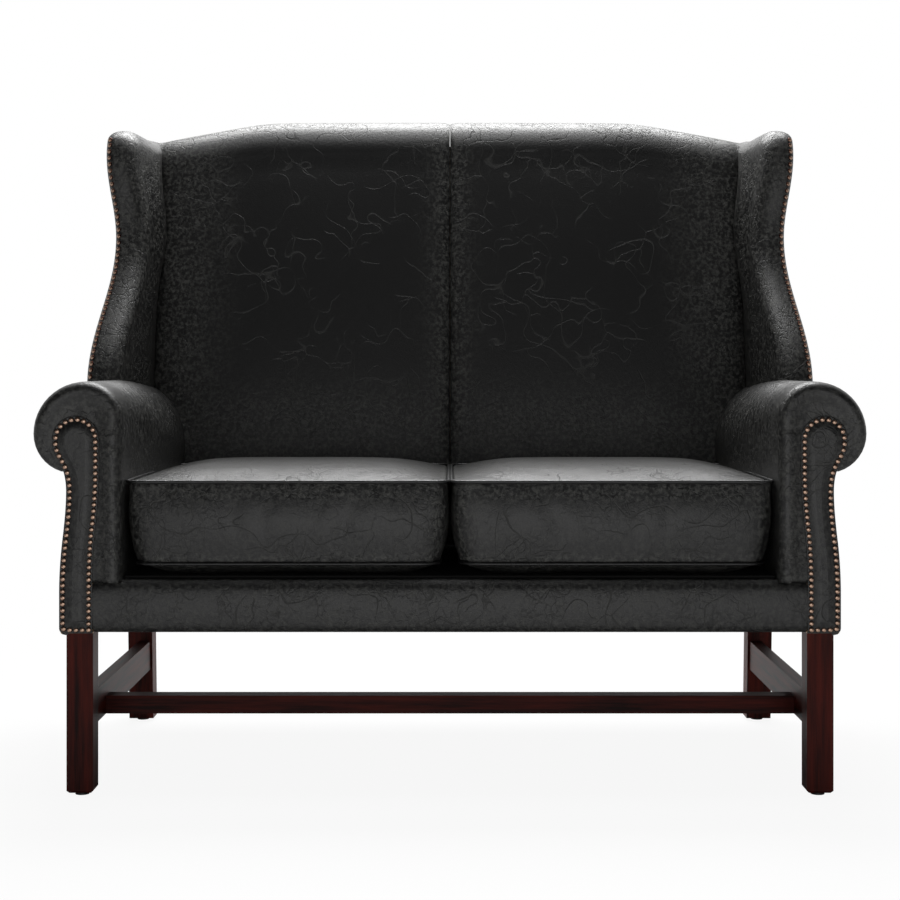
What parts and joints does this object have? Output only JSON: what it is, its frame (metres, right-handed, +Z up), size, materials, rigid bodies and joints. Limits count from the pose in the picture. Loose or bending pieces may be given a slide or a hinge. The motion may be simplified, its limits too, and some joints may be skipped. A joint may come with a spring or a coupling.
{
  "type": "wing-back sofa",
  "caption": "High-backed wing sofa with scroll arms, loose seat cushions, nail-head trim and straight legs joined by an H stretcher.",
  "frame": {"origin": "on the floor under the middle of the sofa's bounding box", "axes": "+Z up, +X along the width (to the right seen from the front), +Y towards the back; the sitter faces -Y"},
  "size_m": [1.32, 0.8301, 1.17],
  "materials": {
    "leather": "antiqued black hide, semi-gloss, crackle veined",
    "mahogany": "dark stained, satin lacquer",
    "beech": "raw sawn",
    "steel": "oiled spring steel",
    "glide": "moulded",
    "webbing": "woven",
    "dust_cloth": "non-woven",
    "foam": "open-cell foam",
    "brass": "antiqued old gold"
  },
  "bodies": {
    "frame": {"arm_board_left": "beech", "arm_board_right": "beech", "arm_cover_left": "leather", "arm_cover_right": "leather", "arm_facing_left": "leather", "arm_facing_right": "leather", "arm_pad_left": "foam", "arm_pad_right": "foam", "arm_rail_left": "beech", "arm_rail_right": "beech", "back_pad": "foam", "back_post_left": "beech", "back_post_right": "beech", "back_rail": "beech", "back_webbing": "webbing", "centre_post": "beech", "centre_rail": "beech", "corner_blocks": "beech", "crest_rail": "beech", "cross_stretcher": "mahogany", "dust_cover": "dust_cloth", "foot_glides": "glide", "front_border_cover": "leather", "front_border_pad": "foam", "front_leg_left": "mahogany", "front_leg_right": "mahogany", "front_rail": "beech", "inside_back_left": "leather", "inside_back_right": "leather", "leg_bolts": "steel", "lower_back_rail": "beech", "nail_heads_left": "brass", "nail_heads_right": "brass", "outside_arm_left": "leather", "outside_arm_right": "leather", "outside_back": "leather", "outside_wing_left": "leather", "outside_wing_right": "leather", "rear_leg_left": "mahogany", "rear_leg_right": "mahogany", "seat_platform": "webbing", "seat_springs": "steel", "side_rail_left": "beech", "side_rail_right": "beech", "side_stretcher_left": "mahogany", "side_stretcher_right": "mahogany", "spring_clips": "steel", "wing_board_left": "beech", "wing_board_right": "beech", "wing_cover_left": "leather", "wing_cover_right": "leather", "wing_pad_left": "foam", "wing_pad_right": "foam"},
    "left_cushion": {"cushion_core_left": "foam", "cushion_cover_left": "leather", "cushion_piping_left": "leather"},
    "right_cushion": {"cushion_core_right": "foam", "cushion_cover_right": "leather", "cushion_piping_right": "leather"}
  },
  "joints": [
    {"name": "left_cushion_lift", "type": "slide", "parent": "frame", "child": "left_cushion", "axis": [0, 0, 1], "range_m": [0, 0.36]},
    {"name": "right_cushion_lift", "type": "slide", "parent": "frame", "child": "right_cushion", "axis": [0, 0, 1], "range_m": [0, 0.36]}
  ]
}
